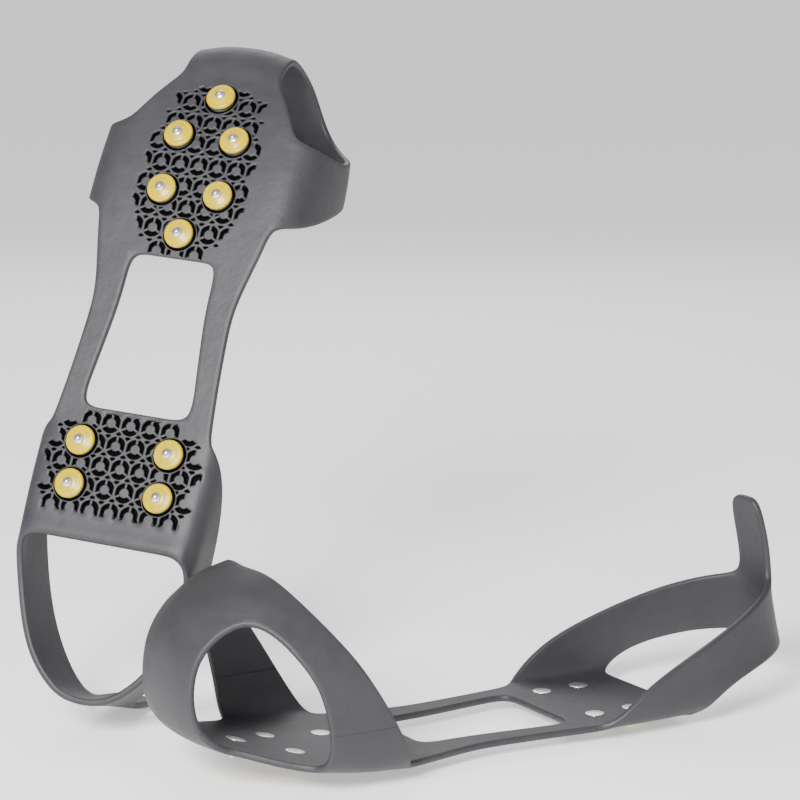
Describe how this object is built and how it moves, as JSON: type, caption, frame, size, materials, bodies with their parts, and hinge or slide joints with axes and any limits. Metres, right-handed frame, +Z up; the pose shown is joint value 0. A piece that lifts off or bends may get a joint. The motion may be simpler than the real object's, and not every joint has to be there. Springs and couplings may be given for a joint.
{
  "type": "slip-on shoe ice cleats",
  "caption": "Pair of slip-on rubber shoe ice cleats with toe web, arch window, heel strap and yellow-collared steel studs; one lies flat, one stands.",
  "frame": {"origin": "centre of the pair's box, on the floor", "axes": "+Y from heel to toe of the cleat that lies flat, +Z up, +X to the right of that cleat, toward the standing one"},
  "size_m": [0.2474, 0.3224, 0.2919],
  "materials": {
    "harness_rubber": "satin",
    "collar_plastic": "gloss",
    "stud_steel": "bright"
  },
  "bodies": {
    "flat_forefoot": {"flat_forefoot_rubber": "harness_rubber", "flat_forefoot_collar_1": "collar_plastic", "flat_forefoot_collar_2": "collar_plastic", "flat_forefoot_collar_3": "collar_plastic", "flat_forefoot_collar_4": "collar_plastic", "flat_forefoot_collar_5": "collar_plastic", "flat_forefoot_collar_6": "collar_plastic", "flat_forefoot_stud_1": "stud_steel", "flat_forefoot_stud_2": "stud_steel", "flat_forefoot_stud_3": "stud_steel", "flat_forefoot_stud_4": "stud_steel", "flat_forefoot_stud_5": "stud_steel", "flat_forefoot_stud_6": "stud_steel"},
    "flat_heel": {"flat_heel_rubber": "harness_rubber", "flat_heel_collar_1": "collar_plastic", "flat_heel_collar_2": "collar_plastic", "flat_heel_collar_3": "collar_plastic", "flat_heel_collar_4": "collar_plastic", "flat_heel_stud_1": "stud_steel", "flat_heel_stud_2": "stud_steel", "flat_heel_stud_3": "stud_steel", "flat_heel_stud_4": "stud_steel"},
    "flat_strap": {"flat_heel_strap": "harness_rubber"},
    "standing_forefoot": {"standing_forefoot_rubber": "harness_rubber", "standing_forefoot_collar_1": "collar_plastic", "standing_forefoot_collar_2": "collar_plastic", "standing_forefoot_collar_3": "collar_plastic", "standing_forefoot_collar_4": "collar_plastic", "standing_forefoot_collar_5": "collar_plastic", "standing_forefoot_collar_6": "collar_plastic", "standing_forefoot_stud_1": "stud_steel", "standing_forefoot_stud_2": "stud_steel", "standing_forefoot_stud_3": "stud_steel", "standing_forefoot_stud_4": "stud_steel", "standing_forefoot_stud_5": "stud_steel", "standing_forefoot_stud_6": "stud_steel"},
    "standing_heel": {"standing_heel_rubber": "harness_rubber", "standing_heel_collar_1": "collar_plastic", "standing_heel_collar_2": "collar_plastic", "standing_heel_collar_3": "collar_plastic", "standing_heel_collar_4": "collar_plastic", "standing_heel_stud_1": "stud_steel", "standing_heel_stud_2": "stud_steel", "standing_heel_stud_3": "stud_steel", "standing_heel_stud_4": "stud_steel"},
    "standing_strap": {"standing_heel_strap": "harness_rubber"}
  },
  "joints": [
    {"name": "flat_fold", "type": "hinge", "parent": "flat_forefoot", "child": "flat_heel", "pos_m": [-0.06888, -0.00253, 0.0065], "axis": [-1, 0, 0], "range_deg": [0, 60], "stiffness_Nm_per_rad": 20},
    {"name": "flat_strap_lift", "type": "hinge", "parent": "flat_heel", "child": "flat_strap", "pos_m": [-0.06888, -0.05103, 0.012], "axis": [-1, 0, 0], "range_deg": [0, 30], "stiffness_Nm_per_rad": 6},
    {"name": "standing_lift_away", "type": "slide", "parent": "flat_forefoot", "child": "standing_forefoot", "axis": [0, 0, 1], "range_m": [0, 0.2]},
    {"name": "standing_fold", "type": "hinge", "parent": "standing_forefoot", "child": "standing_heel", "pos_m": [0.02981, 0.10075, 0.16794], "axis": [-0.7568, -0.6463, -0.0976], "range_deg": [0, 60], "stiffness_Nm_per_rad": 20},
    {"name": "standing_strap_lift", "type": "hinge", "parent": "standing_heel", "child": "standing_strap", "pos_m": [0.02317, 0.11548, 0.12188], "axis": [-0.7568, -0.6463, -0.0976], "range_deg": [0, 30], "stiffness_Nm_per_rad": 6}
  ]
}
